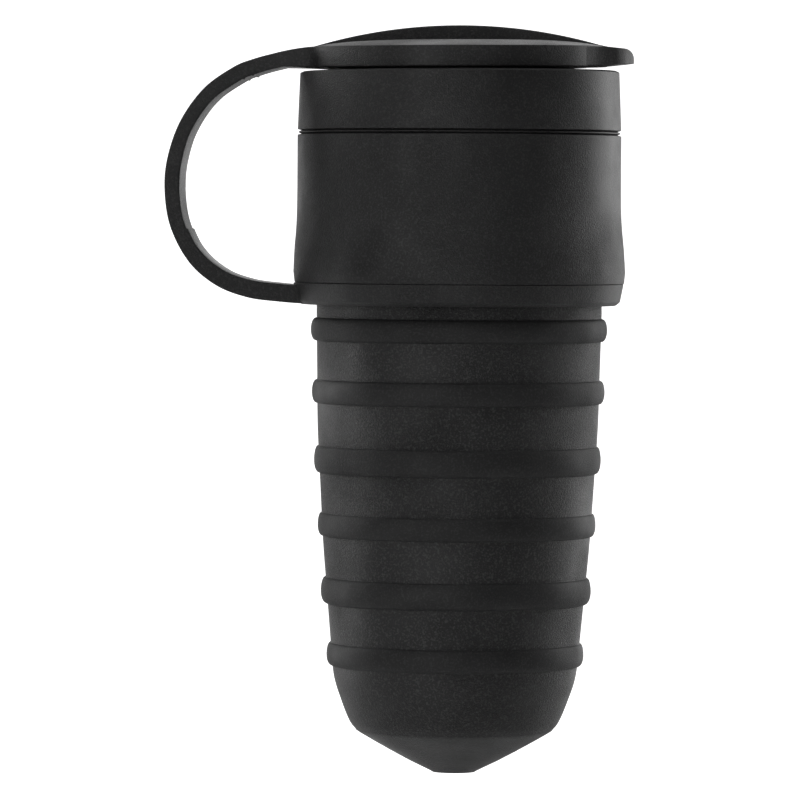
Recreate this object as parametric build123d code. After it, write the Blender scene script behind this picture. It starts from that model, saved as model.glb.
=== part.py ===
from build123d import *
import math
import os

# Rubber trailing socket for round-pin earthed mains plugs, with a lid on a strap.
# Millimetres. +Z runs up the axis, z = 0 is the cable tip, the strap loop is at -X.

# boot: the ribbed lower half of the rubber body, as (radius, height)
TIP_RADIUS = 3.6
CONE = [(7.5, 1.95), (13.6, 5.3), (16.6, 7.1)]
SHOULDER = [(17.8, 8.7), (19.2, 12.1), (20.55, 16.5)]
BOOT = [(21.2, 23.0), (22.6, 39.0), (23.75, 58.7), (24.15, 78.0)]
RIB_HEIGHTS = [20.0, 31.0, 42.0, 53.0, 64.0, 75.0]
RIB_CRESTS = [21.8, 22.9, 23.55, 24.3, 24.8, 25.1]
RIB_HALF = 1.95

# head: the smooth upper half
HEAD_BOTTOM = 82.95
HEAD_TOP = 118.7
HEAD_FOOT_RADIUS = 27.9
HEAD_FLARE = [(28.1, 84.8), (27.9, 88.5), (27.5, 93.5), (27.4, 97.0)]
HEAD_RADIUS = 27.4
GROOVE_HEIGHT = 108.3
GROOVE_HALF = 0.55
GROOVE_DEPTH = 0.45
RIM_RADIUS = 27.0
RIM_ROUND = 0.5

# hollow of the rubber body
MOUTH_RADIUS = 19.8
MOUTH_CHAMFER = 0.4
SEAT_RADIUS = 24.0
SEAT_TOP = 113.7
SEAT_BOTTOM = 96.0
CHAMBER_RADIUS = 21.0
CHAMBER = [(21.0, 76.0), (18.0, 22.0), (15.5, 11.6)]
ENTRY_RADIUS = 2.5
ENTRY_DEPTH = 4.0

# socket insert for a plug with two 4.8 mm pins, 19 mm apart
RECESS_RADIUS = 19.5
RECESS_DEPTH = 17.5
INSERT_RADIUS = 23.9
PIN_OFFSET = 9.5
PIN_HOLE_RADIUS = 2.4
EARTH_SLOT = 6.0
EARTH_SLOT_TOP = 112.0
EARTH_SLOT_RADIUS = 21.4
CARRIER_RADIUS = 20.6
CARRIER_BOTTOM = 80.0
CARRIER_TOP = 95.9

# contacts and terminals
SLEEVE_RADIUS = 3.0
SLEEVE_BORE = 2.4
SLEEVE_TOP = 95.6
SLEEVE_FLOOR = 81.0
SLEEVE_SLIT = 0.8
BLOCK = 7.0
BLOCK_BOTTOM = 69.0
BLOCK_TOP = 79.6
WIRE_HOLE_RADIUS = 1.9
TERMINAL_SCREW_RADIUS = 1.4
TERMINAL_HEAD_RADIUS = 2.4
TERMINAL_HEIGHT = 73.5
STRIP_WIDTH = 5.6
STRIP_THICK = 0.9
CLIP_FACE = 19.7
CLIP_TOP = 111.4

# screws that hold the insert together
INSERT_SCREW_OFFSET = 13.2
INSERT_SCREW_RADIUS = 1.5
INSERT_HEAD_RADIUS = 2.7
NUT_RADIUS = 2.7
NUT_HEIGHT = 5.0

# cable clamp
TONGUE_BACK = -9.5
TONGUE_FRONT = -6.5
TONGUE_HALF = 13.0
TONGUE_BOTTOM = 47.0
CLAMP_LOW = 49.0
CLAMP_HIGH = 58.0
SADDLE_BACK = 4.0
SADDLE_FRONT = 8.5
CRADLE_RADIUS = 5.0
CLAMP_SCREW_OFFSET = 10.0
CLAMP_SCREW_RADIUS = 1.5
CLAMP_HEAD_RADIUS = 2.8

# lid
LID_BOTTOM = 119.2
LID_RADIUS = 25.0
LID_EDGE = 122.7
LID_BEVEL_RADIUS = 21.0
LID_BEVEL_TOP = 123.5
LID_CROWN = 124.1
PLINTH_RADIUS = 21.5
PLINTH_BOTTOM = 119.0
SPIGOT_ROOT = 19.4
SPIGOT_END = 18.7
SPIGOT_BOTTOM = 114.6
SPIGOT_WALL = 3.0
BAR_HALF = 6.5
BAR_PEAK = 126.25
BAR_ARC = 86.0
TAB_REACH = 29.3
TAB_BOTTOM = 119.45
TAB_ROOT_TOP = 122.6
TAB_END_TOP = 122.2
TAB_ROUND = 1.5

# strap: a C-shaped band in the XZ plane, (x, z) along its outer and inner sides
STRAP_HALF = 6.5
BEND = (-49.5, 98.7)
HINGE = (-31.0, 121.3)
OUTER_UPPER = [(-37.8, 119.2), (-42.8, 115.7), (-46.75, 110.4), (-48.95, 104.4)]
OUTER_LOWER = [(-48.5, 92.2), (-45.3, 86.2), (-40.7, 82.3), (-35.4, 80.3), (-30.0, 79.6)]
INNER_BEND = (-47.0, 98.7)
INNER_HINGE = (-30.6, 118.6)
INNER_UPPER = [(-35.8, 117.5), (-40.8, 114.0), (-44.5, 109.4), (-46.45, 104.4)]
INNER_LOWER = [(-46.0, 93.0), (-43.0, 87.3), (-38.5, 84.0), (-33.6, 82.7)]
RING_BORE = 24.5
RING_BOTTOM = 79.2
RING_TOP = 82.85
RING_LOW_RADIUS = 27.1
RING_HIGH_RADIUS = 27.8


def face_xz(*edges):
    """Closed face in the XZ plane from edges drawn as (x, z)."""
    return Plane.XZ * make_face(Curve() + list(edges))


def outline_xz(points):
    return Plane.XZ * make_face(Polyline(*points, close=True))


def turned(face):
    return revolve(face, Axis.Z)


def rod(radius, low, high, x=0.0, y=0.0):
    """Upright cylinder between two heights."""
    return Pos(x, y, (low + high) / 2) * Cylinder(radius, high - low)


def block(x_range, y_range, z_range):
    low, high = zip(x_range, y_range, z_range)
    size = [b - a for a, b in zip(low, high)]
    middle = [(a + b) / 2 for a, b in zip(low, high)]
    return Pos(*middle) * Box(*size)


def boot_radius(height):
    """Radius of the boot between the ribs."""
    rows = [SHOULDER[-1]] + BOOT
    for (r0, z0), (r1, z1) in zip(rows, rows[1:]):
        if z0 <= height <= z1:
            return r0 + (r1 - r0) * (height - z0) / (z1 - z0)
    return rows[-1][0]


def rubber_outside():
    tip = (TIP_RADIUS, 0)
    under_head = (BOOT[-1][0], HEAD_BOTTOM)
    foot = (HEAD_FOOT_RADIUS, HEAD_BOTTOM)
    flare_end = HEAD_FLARE[-1]
    groove_low = (HEAD_RADIUS, GROOVE_HEIGHT - GROOVE_HALF)
    groove_apex = (HEAD_RADIUS - GROOVE_DEPTH, GROOVE_HEIGHT)
    groove_high = (HEAD_RADIUS, GROOVE_HEIGHT + GROOVE_HALF)
    rim_low = (RIM_RADIUS, HEAD_TOP - RIM_ROUND)
    rim_high = (RIM_RADIUS - RIM_ROUND, HEAD_TOP)
    face = face_xz(
        Polyline((0, 0), tip, *CONE),
        Spline(CONE[-1], *SHOULDER),
        Spline(SHOULDER[-1], *BOOT),
        Polyline(BOOT[-1], under_head, foot),
        Spline(foot, *HEAD_FLARE),
        Polyline(flare_end, groove_low, groove_apex, groove_high, rim_low),
        RadiusArc(rim_low, rim_high, -RIM_ROUND),
        Polyline(rim_high, (0, HEAD_TOP), (0, 0)),
    )
    return turned(face)


def rib(height, crest):
    root = boot_radius(height) - 0.6
    oval = Pos(root, height) * Ellipse(crest - root, RIB_HALF)
    half = oval & Pos(root + 2, height) * Rectangle(4, 2 * RIB_HALF)
    return turned(Plane.XZ * half)


def rubber_hollow():
    mouth = [
        (0, HEAD_TOP + 1),
        (MOUTH_RADIUS + MOUTH_CHAMFER, HEAD_TOP + 1),
        (MOUTH_RADIUS + MOUTH_CHAMFER, HEAD_TOP),
        (MOUTH_RADIUS, HEAD_TOP - MOUTH_CHAMFER),
        (MOUTH_RADIUS, SEAT_TOP),
    ]
    seat = [(SEAT_RADIUS, SEAT_TOP), (SEAT_RADIUS, SEAT_BOTTOM), (CHAMBER_RADIUS, SEAT_BOTTOM)]
    entry = [(ENTRY_RADIUS, ENTRY_DEPTH), (ENTRY_RADIUS, -1), (0, -1)]
    return turned(outline_xz(mouth + seat + CHAMBER + entry))


def housing():
    body = rubber_outside()
    for height, crest in zip(RIB_HEIGHTS, RIB_CRESTS):
        body += rib(height, crest)
    return body - rubber_hollow()


def both_pins(make):
    """The same cutter at both pin positions."""
    return make(PIN_OFFSET) + make(-PIN_OFFSET)


def insert_front():
    floor = HEAD_TOP - RECESS_DEPTH
    cup = rod(INSERT_RADIUS, SEAT_BOTTOM, SEAT_TOP - 0.1)
    cup -= rod(RECESS_RADIUS, floor, SEAT_TOP + 1)
    cup -= both_pins(lambda y: rod(PIN_HOLE_RADIUS, SEAT_BOTTOM - 1, floor + 1, 0, y))
    for side in (-1, 1):
        slot_x = sorted((side * (RECESS_RADIUS - 2), side * EARTH_SLOT_RADIUS))
        slot = block(slot_x, (-EARTH_SLOT / 2, EARTH_SLOT / 2), (SEAT_BOTTOM - 1, EARTH_SLOT_TOP))
        cup -= slot
        screw_x = side * INSERT_SCREW_OFFSET
        cup -= rod(INSERT_SCREW_RADIUS + 0.2, SEAT_BOTTOM - 1, floor + 1, screw_x)
        cup -= rod(INSERT_HEAD_RADIUS + 0.2, floor - 2.2, floor + 1, screw_x)
    return cup


def insert_rear():
    """Terminal carrier, with the tongue that the cable is clamped against."""
    carrier = rod(CARRIER_RADIUS, CARRIER_BOTTOM, CARRIER_TOP)
    tongue = block(
        (TONGUE_BACK, TONGUE_FRONT), (-TONGUE_HALF, TONGUE_HALF), (TONGUE_BOTTOM, CARRIER_BOTTOM + 1)
    )
    for y in (-CLAMP_SCREW_OFFSET, CLAMP_SCREW_OFFSET):
        middle = (CLAMP_LOW + CLAMP_HIGH) / 2
        hole = Pos(TONGUE_BACK, y, middle) * Rot(0, 90, 0) * Cylinder(CLAMP_SCREW_RADIUS + 0.2, 12)
        pocket = block((TONGUE_BACK - 1, TONGUE_BACK + 2.1), (y - 2.9, y + 2.9), (middle - 2.9, middle + 2.9))
        tongue -= hole + pocket
    carrier += tongue
    carrier -= both_pins(lambda y: rod(SLEEVE_RADIUS + 0.7, CARRIER_BOTTOM - 1, CARRIER_TOP + 1, 0, y))
    groove_low = CARRIER_TOP - STRIP_THICK - 0.1
    groove_x = (-CARRIER_RADIUS - 1, CARRIER_RADIUS + 1)
    carrier -= block(groove_x, (-STRIP_WIDTH / 2 - 0.2, STRIP_WIDTH / 2 + 0.2), (groove_low, CARRIER_TOP + 1))
    half = BLOCK / 2 + 0.2
    carrier -= block((-half, half), (-half + 1.0, half - 1.0), (CARRIER_BOTTOM - 1, CARRIER_TOP + 1))
    for x in (-INSERT_SCREW_OFFSET, INSERT_SCREW_OFFSET):
        carrier -= rod(INSERT_SCREW_RADIUS + 0.2, CARRIER_BOTTOM - 1, CARRIER_TOP + 1, x)
        carrier -= rod(NUT_RADIUS + 0.1, CARRIER_BOTTOM - 1, CARRIER_BOTTOM + NUT_HEIGHT, x)
    return carrier


def insert_screws():
    floor = HEAD_TOP - RECESS_DEPTH
    screws = []
    for x in (-INSERT_SCREW_OFFSET, INSERT_SCREW_OFFSET):
        head = rod(INSERT_HEAD_RADIUS, floor - 2.1, floor - 0.2, x)
        slot = block((x - 0.4, x + 0.4), (-4, 4), (floor - 1.0, floor + 1))
        screws.append(head + rod(INSERT_SCREW_RADIUS, CARRIER_BOTTOM - 1, floor - 2.0, x) - slot)
    return screws


def insert_nuts():
    nuts = []
    for x in (-INSERT_SCREW_OFFSET, INSERT_SCREW_OFFSET):
        nut = rod(NUT_RADIUS, CARRIER_BOTTOM + 0.1, CARRIER_BOTTOM + NUT_HEIGHT - 0.1, x)
        nuts.append(nut - rod(INSERT_SCREW_RADIUS + 0.05, CARRIER_BOTTOM - 1, CARRIER_TOP, x))
    return nuts


def terminal(y):
    """Brass terminal block with a wire hole from below and a screw hole from the side."""
    half = BLOCK / 2
    body = block((-half, half), (y - half, y + half), (BLOCK_BOTTOM, BLOCK_TOP))
    body -= rod(WIRE_HOLE_RADIUS, BLOCK_BOTTOM - 1, BLOCK_TOP - 2, 0, y)
    side = Pos(half, y, TERMINAL_HEIGHT) * Rot(0, 90, 0) * Cylinder(TERMINAL_SCREW_RADIUS + 0.1, BLOCK)
    return body - side


def pin_contact(y):
    """Slit brass sleeve that grips one plug pin, on its terminal block."""
    sleeve = rod(SLEEVE_RADIUS, BLOCK_TOP - 1, SLEEVE_TOP, 0, y)
    sleeve -= rod(SLEEVE_BORE, SLEEVE_FLOOR, SLEEVE_TOP + 1, 0, y)
    slit_y = (y - SLEEVE_SLIT / 2, y + SLEEVE_SLIT / 2)
    sleeve -= block((-5, 5), slit_y, (SLEEVE_FLOOR + 1, SLEEVE_TOP + 1))
    return sleeve + terminal(y)


def contact_springs():
    """Steel clips round the sleeves."""
    springs = []
    for y in (-PIN_OFFSET, PIN_OFFSET):
        ring = rod(SLEEVE_RADIUS + 0.5, 90.0, 93.0, 0, y) - rod(SLEEVE_RADIUS + 0.02, 89.0, 94.0, 0, y)
        gap_y = sorted((y, y + math.copysign(6, y)))
        springs.append(ring - block((-0.8, 0.8), gap_y, (89.0, 94.0)))
    return springs


def earth_bracket():
    low = CARRIER_TOP - STRIP_THICK
    half = STRIP_WIDTH / 2
    reach = CLIP_FACE + STRIP_THICK
    bracket = block((-reach, reach), (-half, half), (low, CARRIER_TOP))
    for side in (-1, 1):
        blade_x = sorted((side * CLIP_FACE, side * reach))
        bracket += block(blade_x, (-half, half), (low, CLIP_TOP))
        bracket -= rod(INSERT_SCREW_RADIUS + 0.2, low - 1, CARRIER_TOP + 1, side * INSERT_SCREW_OFFSET)
    neck = block((-1.5, 1.5), (-2.4, 2.4), (BLOCK_TOP - 0.5, low + 0.2))
    return bracket + neck + terminal(0)


def terminal_screws():
    screws = []
    for y in (-PIN_OFFSET, 0, PIN_OFFSET):
        start = BLOCK / 2
        turn = Rot(0, 90, 0)
        shank = Pos(start - 1.4, y, TERMINAL_HEIGHT) * turn * Cylinder(TERMINAL_SCREW_RADIUS, 3.4)
        head = Pos(start + 1.2, y, TERMINAL_HEIGHT) * turn * Cylinder(TERMINAL_HEAD_RADIUS, 2.0)
        slot = block((start + 1.6, start + 3), (y - 3, y + 3), (TERMINAL_HEIGHT - 0.35, TERMINAL_HEIGHT + 0.35))
        screws.append(shank + head - slot)
    return screws


def wire_plates():
    """Small plates that the terminal screws press on the wires."""
    plates = []
    for y in (-PIN_OFFSET, 0, PIN_OFFSET):
        x = BLOCK / 2 - 3.2
        plates.append(block((x - 0.6, x), (y - 1.2, y + 1.2), (TERMINAL_HEIGHT - 2.5, TERMINAL_HEIGHT + 2.5)))
    return plates


def clamp_saddle():
    saddle = block((SADDLE_BACK, SADDLE_FRONT), (-TONGUE_HALF, TONGUE_HALF), (CLAMP_LOW, CLAMP_HIGH))
    saddle -= rod(CRADLE_RADIUS, CLAMP_LOW - 1, CLAMP_HIGH + 1, SADDLE_BACK - 2.2)
    middle = (CLAMP_LOW + CLAMP_HIGH) / 2
    for y in (-CLAMP_SCREW_OFFSET, CLAMP_SCREW_OFFSET):
        saddle -= Pos(SADDLE_BACK, y, middle) * Rot(0, 90, 0) * Cylinder(CLAMP_SCREW_RADIUS + 0.2, 14)
    return saddle


def clamp_screws():
    middle = (CLAMP_LOW + CLAMP_HIGH) / 2
    turn = Rot(0, 90, 0)
    screws = []
    for y in (-CLAMP_SCREW_OFFSET, CLAMP_SCREW_OFFSET):
        length = SADDLE_FRONT - TONGUE_BACK + 1.0
        shank = Pos(SADDLE_FRONT + 0.2 - length / 2, y, middle) * turn * Cylinder(CLAMP_SCREW_RADIUS, length)
        head = Pos(SADDLE_FRONT + 1.1, y, middle) * turn * Cylinder(CLAMP_HEAD_RADIUS, 2.0)
        slot = block((SADDLE_FRONT + 1.2, SADDLE_FRONT + 3), (y - 0.4, y + 0.4), (middle - 3, middle + 3))
        screws.append(shank + head - slot)
    return screws


def clamp_nuts():
    middle = (CLAMP_LOW + CLAMP_HIGH) / 2
    nuts = []
    for y in (-CLAMP_SCREW_OFFSET, CLAMP_SCREW_OFFSET):
        nut = block((TONGUE_BACK + 0.1, TONGUE_BACK + 2.0), (y - 2.75, y + 2.75), (middle - 2.75, middle + 2.75))
        nuts.append(nut - Pos(TONGUE_BACK, y, middle) * Rot(0, 90, 0) * Cylinder(CLAMP_SCREW_RADIUS + 0.05, 12))
    return nuts


def strap_ring():
    low = (RING_LOW_RADIUS, RING_BOTTOM + 0.8)
    face = face_xz(
        Polyline((RING_BORE, RING_BOTTOM), (RING_LOW_RADIUS - 0.8, RING_BOTTOM)),
        RadiusArc((RING_LOW_RADIUS - 0.8, RING_BOTTOM), low, -0.8),
        Polyline(low, (RING_HIGH_RADIUS, RING_TOP), (RING_BORE, RING_TOP), (RING_BORE, RING_BOTTOM)),
    )
    return turned(face)


def strap_piece(outer, inner):
    """Band between two curves that start and end together."""
    face = face_xz(Spline(*outer), Line(outer[-1], inner[-1]), Spline(*inner), Line(inner[0], outer[0]))
    return extrude(face, STRAP_HALF, both=True)


def strap_lower():
    outer = [BEND] + OUTER_LOWER + [(-25.0, 79.3)]
    inner = [INNER_BEND] + INNER_LOWER + [(-25.0, 82.3)]
    plug = turned(outline_xz([(0, 78), (26.95, 78), (RING_HIGH_RADIUS - 0.1, 84), (0, 84)]))
    return strap_piece(outer, inner) - plug - strap_ring()


def strap_upper():
    return strap_piece([HINGE] + OUTER_UPPER + [BEND], [INNER_HINGE] + INNER_UPPER + [INNER_BEND])


def strap_lid_end():
    """Short piece of the strap between its bend at the lid and the lid's rim."""
    outline = [HINGE, (-27.0, 122.2), (-24.0, 122.5), (-24.0, 119.4), (-27.0, 119.2), INNER_HINGE]
    piece = extrude(outline_xz(outline), STRAP_HALF, both=True)
    return piece - rod(LID_RADIUS, 118.0, 126.0)


def lid():
    bevel_top = (LID_BEVEL_RADIUS, LID_BEVEL_TOP)
    sag = (LID_CROWN - LID_BEVEL_TOP) / 4
    disc = turned(
        face_xz(
            Polyline((0, LID_BOTTOM), (LID_RADIUS, LID_BOTTOM), (LID_RADIUS, LID_EDGE), bevel_top),
            ThreePointArc(bevel_top, (LID_BEVEL_RADIUS / 2, LID_CROWN - sag), (0, LID_CROWN)),
            Line((0, LID_CROWN), (0, LID_BOTTOM)),
        )
    )
    spigot = turned(
        outline_xz(
            [
                (SPIGOT_ROOT - SPIGOT_WALL, LID_BOTTOM + 0.1),
                (PLINTH_RADIUS, LID_BOTTOM + 0.1),
                (PLINTH_RADIUS, PLINTH_BOTTOM),
                (SPIGOT_ROOT, PLINTH_BOTTOM),
                (SPIGOT_END, SPIGOT_BOTTOM),
                (SPIGOT_END - SPIGOT_WALL + 1, SPIGOT_BOTTOM),
            ]
        )
    )
    top = BAR_PEAK - BAR_ARC + math.sqrt(BAR_ARC**2 - LID_RADIUS**2)
    bar_face = face_xz(
        ThreePointArc((-LID_RADIUS, top), (0, BAR_PEAK), (LID_RADIUS, top)),
        Polyline((LID_RADIUS, top), (LID_RADIUS, LID_BOTTOM + 1), (-LID_RADIUS, LID_BOTTOM + 1), (-LID_RADIUS, top)),
    )
    bar = extrude(bar_face, BAR_HALF, both=True) & rod(LID_RADIUS - 0.3, 118.0, 128.0)
    return disc + spigot + bar


def pull_tab():
    root = LID_RADIUS - 2
    tip_low = (TAB_REACH, TAB_END_TOP - TAB_ROUND)
    tip_high = (TAB_REACH - TAB_ROUND, TAB_END_TOP)
    profile = face_xz(
        Polyline((root, TAB_BOTTOM), (TAB_REACH - 0.4, TAB_BOTTOM + 0.4), tip_low),
        RadiusArc(tip_low, tip_high, -TAB_ROUND),
        Polyline(tip_high, (root, TAB_ROOT_TOP), (root, TAB_BOTTOM)),
    )
    band = extrude(profile, BAR_HALF, both=True)
    end = TAB_REACH - BAR_HALF
    plan = Pos(end, 0) * Circle(BAR_HALF) + Pos(end / 2, 0) * Rectangle(end, 2 * BAR_HALF)
    footprint = Pos(0, 0, 118) * extrude(plan, 8)
    return (band & footprint) - rod(LID_RADIUS, 118.0, 126.0)


NODES = {
    "housing": housing,
    "insert_front": insert_front,
    "insert_rear": insert_rear,
    "insert_screws": insert_screws,
    "insert_nuts": insert_nuts,
    "line_contact": lambda: pin_contact(PIN_OFFSET),
    "neutral_contact": lambda: pin_contact(-PIN_OFFSET),
    "contact_springs": contact_springs,
    "earth_bracket": earth_bracket,
    "terminal_screws": terminal_screws,
    "wire_plates": wire_plates,
    "clamp_saddle": clamp_saddle,
    "clamp_screws": clamp_screws,
    "clamp_nuts": clamp_nuts,
    "strap_ring": strap_ring,
    "strap_lower": strap_lower,
    "strap_upper": strap_upper,
    "strap_lid_end": strap_lid_end,
    "lid": lid,
    "pull_tab": pull_tab,
}

os.makedirs("parts", exist_ok=True)
for name, make in NODES.items():
    shape = make()
    if isinstance(shape, list):
        shape = Compound(children=shape)
    export_step(shape, f"parts/{name}.step")
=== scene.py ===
import math

import bmesh
import bpy
from mathutils import Matrix, Vector


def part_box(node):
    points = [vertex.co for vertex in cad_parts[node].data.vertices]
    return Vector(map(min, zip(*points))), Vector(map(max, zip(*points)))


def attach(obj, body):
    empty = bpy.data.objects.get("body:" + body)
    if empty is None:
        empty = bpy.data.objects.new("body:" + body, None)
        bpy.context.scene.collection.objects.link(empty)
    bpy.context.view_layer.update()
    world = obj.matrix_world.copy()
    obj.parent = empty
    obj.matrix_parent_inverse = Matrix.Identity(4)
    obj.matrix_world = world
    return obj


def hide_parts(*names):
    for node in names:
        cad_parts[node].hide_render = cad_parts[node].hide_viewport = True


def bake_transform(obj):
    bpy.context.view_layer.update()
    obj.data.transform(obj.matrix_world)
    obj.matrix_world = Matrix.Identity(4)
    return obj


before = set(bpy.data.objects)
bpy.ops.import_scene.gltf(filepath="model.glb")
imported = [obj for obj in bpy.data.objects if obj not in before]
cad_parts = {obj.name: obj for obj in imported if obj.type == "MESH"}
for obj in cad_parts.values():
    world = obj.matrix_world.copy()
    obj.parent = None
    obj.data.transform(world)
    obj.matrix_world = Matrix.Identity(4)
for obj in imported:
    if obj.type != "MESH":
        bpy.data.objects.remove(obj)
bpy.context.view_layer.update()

MM = 0.001


def box_mm(node):
    """Lowest and highest corner of a CAD node, in millimetres."""
    low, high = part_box(node)
    return [c / MM for c in low], [c / MM for c in high]


RING_LOW, RING_HIGH = box_mm("strap_ring")
LID_HIGH = box_mm("lid")[1]
UPPER_LOW, UPPER_HIGH = box_mm("strap_upper")

# rubber body: outlines are (radius, height), in millimetres from the tip
HEAD_TOP = box_mm("housing")[1][2]
HEAD_FOOT = RING_HIGH[2] + 0.05
HEAD_RADIUS = 27.4
BOOT = [(16.6, 7.1), (17.8, 8.7), (19.2, 12.1), (20.55, 16.5), (21.2, 23.0), (21.9, 31.0), (22.6, 39.0)]
BOOT += [(23.2, 49.0), (23.75, 58.7), (23.95, 68.0), (24.15, 78.0)]
TIP = [(3.6, 0.0), (4.1, 0.3), (7.5, 1.95), (10.6, 3.62), (13.6, 5.3), (16.0, 6.7)]
# ribs as (height, crest radius, half of the rib's own height)
RIBS = [(20.0, 21.8, 1.95), (30.8, 22.9, 2.25), (42.0, 23.55, 1.95)]
RIBS += [(53.0, 24.3, 2.3), (64.5, 24.8, 2.0), (75.0, 25.1, 1.95)]
HEAD = [(28.1, 84.8), (27.9, 88.5), (27.6, 92.0), (27.45, 95.0), (HEAD_RADIUS, 98.5)]
GROOVE_HEIGHT = 108.3
GROOVE_HALF = 0.45
GROOVE_DEPTH = 0.7
GROOVE_FLOOR = 0.3
GROOVE_BEAD = 0.5
GROOVE_BEAD_HALF = 0.1
RIM = [(27.0, HEAD_TOP - 0.25), (26.4, HEAD_TOP)]
MOUTH_RADIUS = 19.8
CAVITY = [(19.8, 113.7), (24.0, 113.7), (24.0, 96.0), (21.0, 96.0), (21.0, 76.0), (18.0, 22.0), (15.5, 11.6)]
ENTRY = [(2.5, 4.0), (2.5, 0.0)]
TURN_STEPS = 320

# how the soft rubber is out of true: the rim's rise, and the boot's lean about one height
RIM_RISE = 0.007
RIM_RISE_OVER = (GROOVE_HEIGHT + 1, 9)
BOOT_LEAN = 0.006
BOOT_LEAN_CENTRE = 54
BOOT_LEAN_TOP = 80
BOOT_LEAN_END = 96

# lid and strap
LID_RADIUS = LID_HIGH[0]
LID_BOTTOM = 119.2
LID_EDGE = 122.7
LID_DOME = [(0.0, 123.9), (7.0, 123.88), (14.0, 123.78), (18.0, 123.6), (21.0, 123.35), (23.5, 123.0)]
LID_DOME += [(25.0, LID_EDGE)]
PLINTH_RADIUS = 21.5
PLINTH_BOTTOM = HEAD_TOP + 0.35
# hollow stopper under the plinth, ending at the axis
STOPPER_CEILING = LID_BOTTOM + 0.2
STOPPER = [(19.4, PLINTH_BOTTOM), (18.7, 114.6), (16.7, 114.6), (16.2, STOPPER_CEILING), (0, STOPPER_CEILING)]
LID_TILT = (0.007, 0.012)
LID_RAISE = 0.15
BAR_HALF = 6.5
BAR_PEAK = LID_HIGH[2]
BAR_ARC = 86.0
BAR_REACH = 25.6
# the tab's half width at each distance from the axis
TAB_PLAN = [(20.0, 14.9), (21.5, 12.7), (23.2, 10.5), (24.6, 9.0), (25.8, 7.9), (27.0, 6.8), (28.1, 5.3)]
TAB_PLAN += [(28.9, 3.4), (29.3, 1.7), (29.45, 0.4)]
TAB_NOSE_LENGTH = 1.4
TAB_NOSE_DROP = 1.7
STRAP_HALF = UPPER_HIGH[1]
BEND = (UPPER_LOW[0], 98.7)
# the strap's outer side from the lid round to the ring, as (x, z)
OUTER_TOP = [(-20.0, 122.55), (-23.0, 122.62), (-25.3, 122.55), (-28.0, 122.17), (-31.0, 121.5)]
OUTER_UPPER = [(-34.6, 120.5), (-37.9, 119.15), (-42.8, 115.65), (-46.7, 110.35), (-48.9, 104.4), BEND]
OUTER_LOWER = [(-48.5, 92.2), (-45.3, 86.2), (-40.7, 82.3), (-35.4, 80.3), (-30.0, 79.6), (-26.0, 79.32)]
OUTER_LOWER += [(-24.65, 79.3)]
STRAP_JOINT_HEIGHT = 109.0
RIDGES = (-35.4, -37.3)
FILLET = 4.0
RING_FLARE = 26.4
RING_BORE = 24.5


# ---------------------------------------------------------------- curves and meshes


def smooth_line(points, per_span=10):
    """Catmull-Rom curve through the points."""
    ends = [
        tuple(2 * a - b for a, b in zip(points[0], points[1])),
        tuple(2 * a - b for a, b in zip(points[-1], points[-2])),
    ]
    p = [ends[0]] + list(points) + [ends[1]]
    out = []
    for i in range(1, len(p) - 2):
        for j in range(per_span):
            t = j / per_span
            out.append(
                tuple(
                    0.5
                    * (
                        2 * b
                        + (c - a) * t
                        + (2 * a - 5 * b + 4 * c - d) * t**2
                        + (3 * b - a - 3 * c + d) * t**3
                    )
                    for a, b, c, d in zip(p[i - 1], p[i], p[i + 1], p[i + 2])
                )
            )
    out.append(tuple(points[-1]))
    return out


def ramp(value, start, length):
    """0 before start, rising to 1 over the length."""
    return min(max((value - start) / length, 0), 1)


def bump(value, middle, reach):
    """A low hill, 1 at its middle and 0 beyond its reach."""
    return max(1 - ((value - middle) / reach) ** 2, 0)


def radius_at(curve, height):
    """Radius of an outline at a height."""
    for (r0, z0), (r1, z1) in zip(curve, curve[1:]):
        if z0 <= height <= z1 and z1 > z0:
            return r0 + (r1 - r0) * (height - z0) / (z1 - z0)
    return curve[-1][0]


def soften(points, radius, steps=4, closed=False):
    """Rounds the sharp corners of a line; radius is how far from each corner the rounding starts."""
    out = []
    count = len(points)
    for i, p in enumerate(points):
        if not closed and i in (0, count - 1):
            out.append(p)
            continue
        a, b, c = Vector(points[i - 1]), Vector(p), Vector(points[(i + 1) % count])
        back, ahead = a - b, c - b
        if min(back.length, ahead.length) < 1e-9 or back.angle(ahead) > math.radians(155):
            out.append(p)
            continue
        cut = min(radius, back.length * 0.45, ahead.length * 0.45)
        start, end = b + back.normalized() * cut, b + ahead.normalized() * cut
        for j in range(steps + 1):
            t = j / steps
            out.append(tuple(start * (1 - t) ** 2 + b * 2 * t * (1 - t) + end * t**2))
    return out


def finish_mesh(bm, name, body, material, sharp=40):
    """Turns the bmesh into a smooth-shaded object that rides a CAD body."""
    bmesh.ops.recalc_face_normals(bm, faces=bm.faces)
    for edge in bm.edges:
        edge.smooth = len(edge.link_faces) != 2 or edge.calc_face_angle(0) < math.radians(sharp)
    for face in bm.faces:
        face.smooth = True
    mesh = bpy.data.meshes.new(name)
    bm.to_mesh(mesh)
    bm.free()
    obj = bpy.data.objects.new(name, mesh)
    bpy.context.scene.collection.objects.link(obj)
    for m in material if isinstance(material, list) else [material]:
        mesh.materials.append(m)
    if body:
        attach(obj, body)
    return obj


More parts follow.
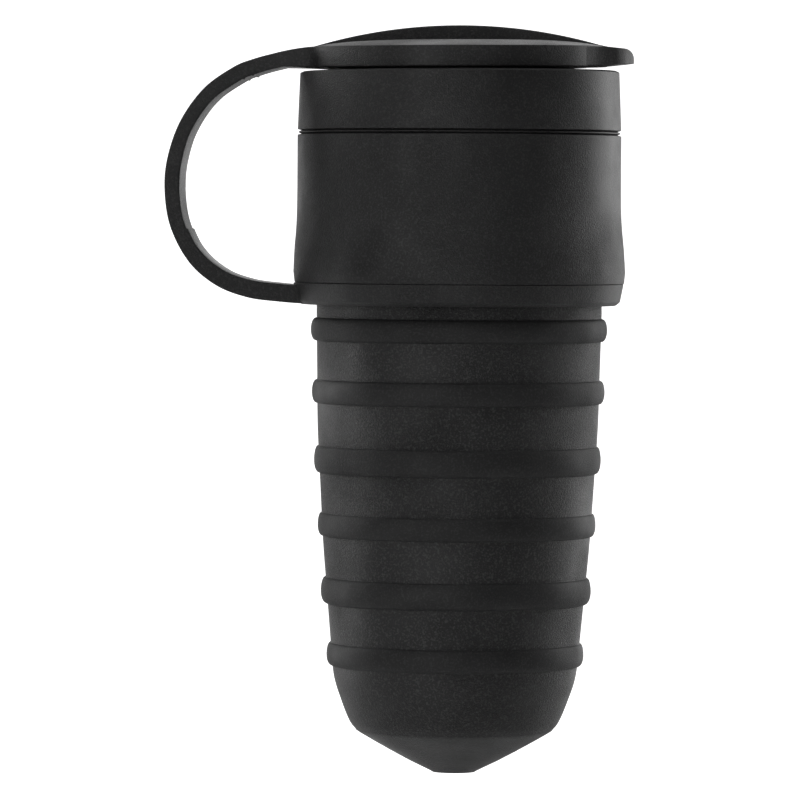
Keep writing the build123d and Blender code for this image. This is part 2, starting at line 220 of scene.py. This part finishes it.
def lathe(outline, steps=256, closed=True, material_at=None):
    """Spins a line of (radius, height) in millimetres about Z. Points on the axis become one vertex."""
    bm = bmesh.new()
    rings = []
    for r, z in outline:
        if r < 1e-6:
            rings.append([bm.verts.new((0, 0, z * MM))])
            continue
        turn = [2 * math.pi * k / steps for k in range(steps)]
        rings.append([bm.verts.new((r * MM * math.cos(a), r * MM * math.sin(a), z * MM)) for a in turn])
    pairs = list(zip(rings, rings[1:]))
    if closed:
        pairs.append((rings[-1], rings[0]))
    for number, (low, high) in enumerate(pairs):
        for k in range(steps):
            n = (k + 1) % steps
            ring = []
            ring += [low[0]] if len(low) == 1 else [low[k], low[n]]
            ring += [high[0]] if len(high) == 1 else [high[n], high[k]]
            if len(ring) > 2:
                face = bm.faces.new(ring)
                if material_at:
                    middle = outline[number][1] + outline[(number + 1) % len(outline)][1]
                    face.material_index = material_at(outline[number][0], middle / 2)
    return bm


def loft(sections):
    """Joins closed cross sections, each a list of points in millimetres, and caps both ends."""
    bm = bmesh.new()
    rings = [[bm.verts.new([c * MM for c in p]) for p in section] for section in sections]
    for low, high in zip(rings, rings[1:]):
        for k in range(len(low)):
            n = (k + 1) % len(low)
            bm.faces.new((low[k], low[n], high[n], high[k]))
    bm.faces.new(rings[0])
    bm.faces.new(list(reversed(rings[-1])))
    return bm


# ---------------------------------------------------------------- materials


def new_material(name):
    """A material with its node tree on: material, nodes, links and main shader."""
    m = bpy.data.materials.new(name)
    m.use_nodes = True
    nodes = m.node_tree.nodes
    return m, nodes, m.node_tree.links, nodes["Principled BSDF"]


def map_range(nodes, links, source, low, high, start, end):
    """Maps a value from start..end to low..high."""
    n = nodes.new("ShaderNodeMapRange")
    n.inputs["From Min"].default_value = start
    n.inputs["From Max"].default_value = end
    n.inputs["To Min"].default_value = low
    n.inputs["To Max"].default_value = high
    links.new(source, n.inputs["Value"])
    return n.outputs["Result"]


# noise sizes, as repeats per metre
BLOTCHES = 90
DUST = 3000
PATCHES = 75
GRAIN_PATCHES = 38
GRAIN = 4800
WAVES = 70
METAL_NOISE = 400


def rubber(name, grain, rough):
    """Moulded black rubber: blotchy tone, dust in the grain, fine grain and slow waves in its surface."""
    m, nodes, links, shader = new_material(name)
    where = nodes.new("ShaderNodeTexCoord")

    def noise(scale, detail, roughness=0.5):
        n = nodes.new("ShaderNodeTexNoise")
        n.inputs["Scale"].default_value = scale
        n.inputs["Detail"].default_value = detail
        n.inputs["Roughness"].default_value = roughness
        links.new(where.outputs["Object"], n.inputs["Vector"])
        return n.outputs["Fac"]

    def spread(source, low, high, start=0.3, end=0.7):
        return map_range(nodes, links, source, low, high, start, end)

    tone = nodes.new("ShaderNodeMix")
    tone.data_type = "RGBA"
    tone.inputs["A"].default_value = (0.009, 0.009, 0.0093, 1)
    tone.inputs["B"].default_value = (0.024, 0.024, 0.0245, 1)
    links.new(spread(noise(BLOTCHES, 5), 0.2, 0.8), tone.inputs["Factor"])
    dust = nodes.new("ShaderNodeMix")
    dust.data_type = "RGBA"
    dust.inputs["B"].default_value = (0.05, 0.05, 0.05, 1)
    links.new(tone.outputs["Result"], dust.inputs["A"])
    links.new(spread(noise(DUST, 1), 0.0, grain, 0.5, 0.68), dust.inputs["Factor"])
    links.new(dust.outputs["Result"], shader.inputs["Base Color"])
    links.new(spread(noise(PATCHES, 5), rough - 0.1, rough + 0.12), shader.inputs["Roughness"])
    shader.inputs["Specular IOR Level"].default_value = 0.36
    fine = nodes.new("ShaderNodeBump")
    patchy = spread(noise(GRAIN_PATCHES, 2), grain * 0.5, grain * 1.5, 0.42, 0.58)
    links.new(patchy, fine.inputs["Strength"])
    fine.inputs["Distance"].default_value = 0.00025
    links.new(noise(GRAIN, 1, 0.6), fine.inputs["Height"])
    wave = nodes.new("ShaderNodeBump")
    wave.inputs["Strength"].default_value = 0.16
    wave.inputs["Distance"].default_value = 0.0004
    links.new(noise(WAVES, 3), wave.inputs["Height"])
    links.new(fine.outputs["Normal"], wave.inputs["Normal"])
    links.new(wave.outputs["Normal"], shader.inputs["Normal"])
    return m


def metal(name, colour, rough):
    """Drawn sheet or turned metal with uneven tone and shine."""
    m, nodes, links, shader = new_material(name)
    shader.inputs["Metallic"].default_value = 1.0
    where = nodes.new("ShaderNodeTexCoord")
    noise = nodes.new("ShaderNodeTexNoise")
    noise.inputs["Scale"].default_value = METAL_NOISE
    noise.inputs["Detail"].default_value = 5
    links.new(where.outputs["Object"], noise.inputs["Vector"])
    shine = map_range(nodes, links, noise.outputs["Fac"], rough - 0.08, rough + 0.12, 0, 1)
    links.new(shine, shader.inputs["Roughness"])
    tone = nodes.new("ShaderNodeMix")
    tone.data_type = "RGBA"
    tone.inputs["A"].default_value = (*colour, 1)
    tone.inputs["B"].default_value = (*[c * 0.75 for c in colour], 1)
    links.new(noise.outputs["Fac"], tone.inputs["Factor"])
    links.new(tone.outputs["Result"], shader.inputs["Base Color"])
    return m


SMOOTH = rubber("smooth rubber", 0.5, 0.45)
MATT = rubber("matt rubber", 0.4, 0.6)
GRAINY = rubber("grainy rubber", 0.9, 0.47)
PLASTIC = rubber("hard plastic", 0.15, 0.4)
BRASS = metal("brass", (0.72, 0.52, 0.24), 0.3)
STEEL = metal("steel", (0.6, 0.6, 0.58), 0.32)


# ---------------------------------------------------------------- rubber body


def rib_line(curve, height, crest, half):
    """A rib's rounded section, standing up steeply from the boot."""
    steps = 14
    line = []
    for j in range(steps + 1):
        angle = math.pi * j / steps
        z = height - half * math.cos(angle)
        root = radius_at(curve, z)
        line.append((root + (crest - root) * math.sin(angle) ** 0.8, z))
    return line


def body_outline():
    """Closed outline of the whole body: outside upwards, then the cavity downwards."""
    curve = smooth_line(BOOT)
    outside = list(TIP)
    ribs = list(RIBS)
    for r, z in curve:
        near = [h for h, _, half in RIBS if abs(z - h) <= half + 0.05]
        if not near:
            outside.append((r, z))
        elif ribs and ribs[0][0] == near[0]:
            outside += rib_line(curve, *ribs.pop(0))
    outside = soften(outside, 0.6)
    foot = soften([(24.1, HEAD_FOOT), (27.9, HEAD_FOOT), smooth_line(HEAD)[0]], 0.15)[:-1]
    deep = HEAD_RADIUS - GROOVE_DEPTH
    bead = deep + GROOVE_BEAD
    head = smooth_line(HEAD)
    head += [(HEAD_RADIUS, GROOVE_HEIGHT - GROOVE_HALF), (deep, GROOVE_HEIGHT - GROOVE_FLOOR)]
    head += [(bead, GROOVE_HEIGHT - GROOVE_BEAD_HALF), (bead, GROOVE_HEIGHT + GROOVE_BEAD_HALF)]
    head += [(deep, GROOVE_HEIGHT + GROOVE_FLOOR), (HEAD_RADIUS - 0.02, GROOVE_HEIGHT + GROOVE_HALF)]
    head += [*RIM, (MOUTH_RADIUS, HEAD_TOP)]
    head = foot + soften(head, 0.12)
    inside = soften(CAVITY + ENTRY, 0.3)
    return outside + head + inside


BODY_MATERIALS = [SMOOTH, GRAINY, MATT]
RIB_AREA_RADIUS = 20
BOOT_AREA_RADIUS = 26


def body_material(radius, height):
    """Number in BODY_MATERIALS: smooth on the head, grainy between the ribs, matt on the ribs."""
    if any(abs(height - h) < half for h, _, half in RIBS) and radius > RIB_AREA_RADIUS:
        return 2
    on_boot = TIP[-1][1] + 0.3 < height < HEAD_FOOT - 1 and radius < BOOT_AREA_RADIUS
    return 1 if on_boot else 0


def lean(bm):
    """The rim rises slightly towards the pull tab, and the boot's tip leans to the strap's side."""
    for v in bm.verts:
        height = v.co.z / MM
        v.co.z += RIM_RISE * v.co.x * ramp(height, *RIM_RISE_OVER)
        fading = 1 - ramp(height, BOOT_LEAN_TOP, BOOT_LEAN_END - BOOT_LEAN_TOP)
        v.co.x += BOOT_LEAN * (min(height, BOOT_LEAN_TOP) - BOOT_LEAN_CENTRE) * MM * fading
    return bm


body_mesh = lean(lathe(body_outline(), TURN_STEPS, True, body_material))
body = finish_mesh(body_mesh, "rubber_body", "body", BODY_MATERIALS, 35)
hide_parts("housing")


# ---------------------------------------------------------------- retaining ring

ring_section = [
    (RING_BORE, RING_LOW[2]),
    (26.6, RING_LOW[2]),
    (27.35, RING_LOW[2] + 0.6),
    (RING_HIGH[0] + 0.15, RING_HIGH[2]),
    (RING_BORE, RING_HIGH[2]),
]
ring_mesh = lathe(soften(ring_section, 0.15, 5, True))
ring = finish_mesh(ring_mesh, "retaining_ring", "ring", SMOOTH, 50)
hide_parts("strap_ring")


# ---------------------------------------------------------------- strap


def half_width(x, half, disc, fillet):
    """Half width of a band running out of a disc, its sides curving out to meet the disc's edge."""
    centre = math.sqrt((disc + fillet) ** 2 - (half + fillet) ** 2)
    touch = centre * disc / (disc + fillet)
    if x >= centre:
        return half
    if x >= touch:
        return half + fillet - math.sqrt(fillet**2 - (x - centre) ** 2)
    return 0.995 * math.sqrt(disc**2 - x**2)


def strap_section(point, normal, thick, half, edge=0.35):
    """Rounded rectangle across the strap; normal points to the strap's outer side."""
    x, z = point
    corners = [(half, 0.0), (half, -thick), (-half, -thick), (-half, 0.0)]
    rounded = soften(corners, edge, 4, True)
    return [(x + normal[0] * n, y, z + normal[1] * n) for y, n in rounded]


def strap_sections(line):
    """Cross sections square to the strap's outer line."""
    sections = []
    for i, p in enumerate(line):
        a, b = line[max(i - 1, 0)], line[min(i + 1, len(line) - 1)]
        along = Vector((b[0] - a[0], b[1] - a[1])).normalized()
        normal = (along[1], -along[0])
        sections.append(strap_section(p, normal, thickness(p), width_at(p)))
    return sections


UPPER_THICKNESS = 2.25
LOWER_THICKNESS = 2.22
BELLY = 0.35
BELLY_HEIGHT = 98
BELLY_REACH = 16
THICKER_AT_LID = 0.35
THICKER_AT_RING = 0.6
RIDGE_HEIGHT = 0.22
RIDGE_HALF = 0.25
RIDGES_ABOVE = 115
STEP = 0.25
STEP_HEIGHT = 90.9
LID_OVERLAP_START = -31.5


def thickness(p):
    """Thicker towards both ends, with fine cross ridges near the lid and a small step below the bend."""
    x, z = p
    belly = BELLY * bump(z, BELLY_HEIGHT, BELLY_REACH)
    if z > BEND[1]:
        thick = UPPER_THICKNESS + THICKER_AT_LID * ramp(z, 108, 10) + belly
        if x > LID_OVERLAP_START:
            thick = max(thick, z - LID_BOTTOM + 0.1)
        ridge = max(1 - abs(x - place) / RIDGE_HALF for place in RIDGES)
        return thick + (RIDGE_HEIGHT * max(ridge, 0) if z > RIDGES_ABOVE else 0)
    step = STEP * ramp(-z, -STEP_HEIGHT, 0.15)
    return LOWER_THICKNESS + step + THICKER_AT_RING * ramp(-z, -88, 8) + belly


def width_at(p):
    """Half width: the sides curve out to meet the lid at one end and the ring at the other."""
    disc = LID_RADIUS if p[1] > BEND[1] else RING_FLARE
    return half_width(-p[0], STRAP_HALF, disc, FILLET)


outer = smooth_line(OUTER_TOP + OUTER_UPPER + OUTER_LOWER, 30)
sections = strap_sections(outer)
meeting = min(range(len(outer)), key=lambda i: abs(outer[i][1] - STRAP_JOINT_HEIGHT))
upper = finish_mesh(loft(sections[: meeting + 1]), "strap_upper_part", None, SMOOTH)
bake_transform(upper)
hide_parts("strap_upper", "strap_lid_end")
lower = finish_mesh(loft(sections[meeting:]), "strap_lower_part", None, SMOOTH)
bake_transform(lower)
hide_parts("strap_lower")


# ---------------------------------------------------------------- lid


def tilt(bm):
    """The closed lid leans a little, towards the front and towards the strap."""
    for v in bm.verts:
        v.co.z += LID_TILT[0] * v.co.x + LID_TILT[1] * v.co.y + LID_RAISE * MM
    return bm


def lid_outline():
    """From the dome's middle over the edge and the plinth to the hollow stopper below."""
    line = smooth_line(LID_DOME, 6)
    line += [(LID_RADIUS, LID_BOTTOM), (PLINTH_RADIUS, LID_BOTTOM), (PLINTH_RADIUS, PLINTH_BOTTOM)]
    return soften(line + STOPPER, 0.25)


disc = finish_mesh(tilt(lathe(lid_outline(), TURN_STEPS, False)), "lid_disc", "lid", SMOOTH)
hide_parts("lid")


def bar_mesh():
    """Arched grip bar across the lid."""
    sections = []
    count = 48
    for i in range(count + 1):
        x = -BAR_REACH + 2 * BAR_REACH * i / count
        top = BAR_PEAK - BAR_ARC + math.sqrt(BAR_ARC**2 - x**2)
        low = min(LID_EDGE - 1.0, top - 0.8)
        corners = [(BAR_HALF, low), (-BAR_HALF, low), (-BAR_HALF, top), (BAR_HALF, top)]
        sections.append([(x, y, z) for y, z in soften(corners, 0.35, 4, True)])
    return loft(sections)


bar = finish_mesh(tilt(bar_mesh()), "grip_bar", "lid", SMOOTH)


def tab_mesh():
    """Pull tab: a rounded lip whose sides run out of the disc's edge."""
    sections = []
    tip = TAB_PLAN[-1][0]
    for x, half in smooth_line(TAB_PLAN, 8):
        t = max(x - LID_RADIUS, 0) / (tip - LID_RADIUS)
        nose = ramp(x, tip - TAB_NOSE_LENGTH, TAB_NOSE_LENGTH)
        top = LID_EDGE - 0.1 - 0.45 * t - TAB_NOSE_DROP * (1 - math.sqrt(1 - nose**2))
        low = LID_BOTTOM + 0.15 + 0.4 * t
        edge = min(0.3, half * 0.3, (top - low) * 0.3)
        corners = [(half, low), (-half, low), (-half, top), (half, top)]
        sections.append([(x, y, z) for y, z in soften(corners, edge, 4, True)])
    return loft(sections)


tab = finish_mesh(tilt(tab_mesh()), "tab", "lid", SMOOTH)
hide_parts("pull_tab")


# ---------------------------------------------------------------- inside, from the CAD pieces

INSIDE = {
    "insert_front": (PLASTIC, "insert"),
    "insert_rear": (PLASTIC, "insert"),
    "clamp_saddle": (PLASTIC, "insert"),
    "line_contact": (BRASS, "brass"),
    "neutral_contact": (BRASS, "brass"),
    "earth_bracket": (BRASS, "brass"),
    "insert_nuts": (BRASS, "brass"),
    "contact_springs": (STEEL, "steel"),
    "insert_screws": (STEEL, "steel"),
    "terminal_screws": (STEEL, "steel"),
    "wire_plates": (STEEL, "steel"),
    "clamp_screws": (STEEL, "steel"),
    "clamp_nuts": (STEEL, "steel"),
}
for node, (material, slot) in INSIDE.items():
    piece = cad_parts[node]
    piece.data.materials.clear()
    piece.data.materials.append(material)


# ---------------------------------------------------------------- floor, light and camera


FLOOR_REACH = 6.0
FLOOR_HEIGHT = -0.14
FLOOR_BACK = 2.0
FLOOR_BEND = 1.0


def floor_mesh():
    """Flat sheet that curves up far behind the object."""
    bm = bmesh.new()
    line = [(-FLOOR_REACH, FLOOR_HEIGHT), (FLOOR_BACK, FLOOR_HEIGHT)]
    steps = 16
    for k in range(1, steps + 1):
        a = math.pi / 2 * k / steps
        line.append((FLOOR_BACK + FLOOR_BEND * math.sin(a), FLOOR_HEIGHT + FLOOR_BEND * (1 - math.cos(a))))
    line.append((FLOOR_BACK + FLOOR_BEND, FLOOR_REACH))
    rows = [[bm.verts.new((x, y, z)) for x in (-FLOOR_REACH, FLOOR_REACH)] for y, z in line]
    for a, b in zip(rows, rows[1:]):
        bm.faces.new((a[0], a[1], b[1], b[0]))
    return bm


def floor_material():
    """Pale matt paper, glowing softly behind the object and fading out to the sides."""
    m, nodes, links, shader = new_material("pale floor")
    shader.inputs["Base Color"].default_value = (0.8, 0.8, 0.8, 1)
    shader.inputs["Roughness"].default_value = 0.9
    shader.inputs["Emission Color"].default_value = (1, 1, 1, 1)
    where = nodes.new("ShaderNodeTexCoord")
    split = nodes.new("ShaderNodeSeparateXYZ")
    links.new(where.outputs["Object"], split.inputs["Vector"])
    sideways = nodes.new("ShaderNodeMath")
    sideways.operation = "ABSOLUTE"
    links.new(split.outputs["X"], sideways.inputs[0])
    both = nodes.new("ShaderNodeMath")
    both.operation = "MULTIPLY"
    backwards = map_range(nodes, links, split.outputs["Y"], 0.0, 1.1, 0.6, 1.4)
    links.new(backwards, both.inputs[0])
    outwards = map_range(nodes, links, sideways.outputs["Value"], 1.0, 0.25, 0.5, 1.3)
    links.new(outwards, both.inputs[1])
    links.new(both.outputs["Value"], shader.inputs["Emission Strength"])
    return m


finish_mesh(floor_mesh(), "floor", None, floor_material())


def area_light(name, place, aim, size, power):
    """Rectangular softbox that faces a point; sizes in metres, power in watts."""
    data = bpy.data.lights.new(name, "AREA")
    data.shape = "RECTANGLE"
    data.size, data.size_y = size
    data.energy = power
    obj = bpy.data.objects.new(name, data)
    bpy.context.scene.collection.objects.link(obj)
    obj.location = place
    obj.rotation_euler = (Vector(aim) - Vector(place)).to_track_quat("-Z", "Y").to_euler()


MIDDLE = (0, 0, 0.065)
area_light("left softbox", (-0.86, 0.51, 0.25), MIDDLE, (0.45, 0.7), 3.2)
area_light("right softbox", (0.77, 0.64, 0.25), MIDDLE, (0.8, 0.7), 3.4)
area_light("top softbox", (0.0, -0.15, 1.0), MIDDLE, (0.9, 0.7), 3.0)
area_light("front softbox", (-0.50, -1.11, 0.25), MIDDLE, (0.32, 0.7), 3.3)

world = bpy.data.worlds.new("studio")
bpy.context.scene.world = world
world.use_nodes = True
world.node_tree.nodes["Background"].inputs["Color"].default_value = (1, 1, 1, 1)
world.node_tree.nodes["Background"].inputs["Strength"].default_value = 0.06
bpy.context.scene.view_settings.view_transform = "Standard"

DISTANCE = 1.1
CAMERA_TURN = math.radians(2.5)
CAMERA_HEIGHT = 0.095
CAMERA_ROLL = math.radians(0.35)
AIM = Vector((-0.0098, 0, 0.063))
PICTURE_WIDTH = 0.1356
SENSOR_WIDTH = 36

camera = bpy.data.objects.new("camera", bpy.data.cameras.new("camera"))
bpy.context.scene.collection.objects.link(camera)
camera.location = (DISTANCE * math.sin(CAMERA_TURN), -DISTANCE * math.cos(CAMERA_TURN), CAMERA_HEIGHT)
look = (AIM - camera.location).to_track_quat("-Z", "Y").to_matrix().to_4x4()
camera.matrix_world = Matrix.Translation(camera.location) @ look @ Matrix.Rotation(CAMERA_ROLL, 4, "Z")
camera.data.sensor_width = SENSOR_WIDTH
camera.data.lens = SENSOR_WIDTH * (AIM - camera.location).length / PICTURE_WIDTH
bpy.context.scene.camera = camera
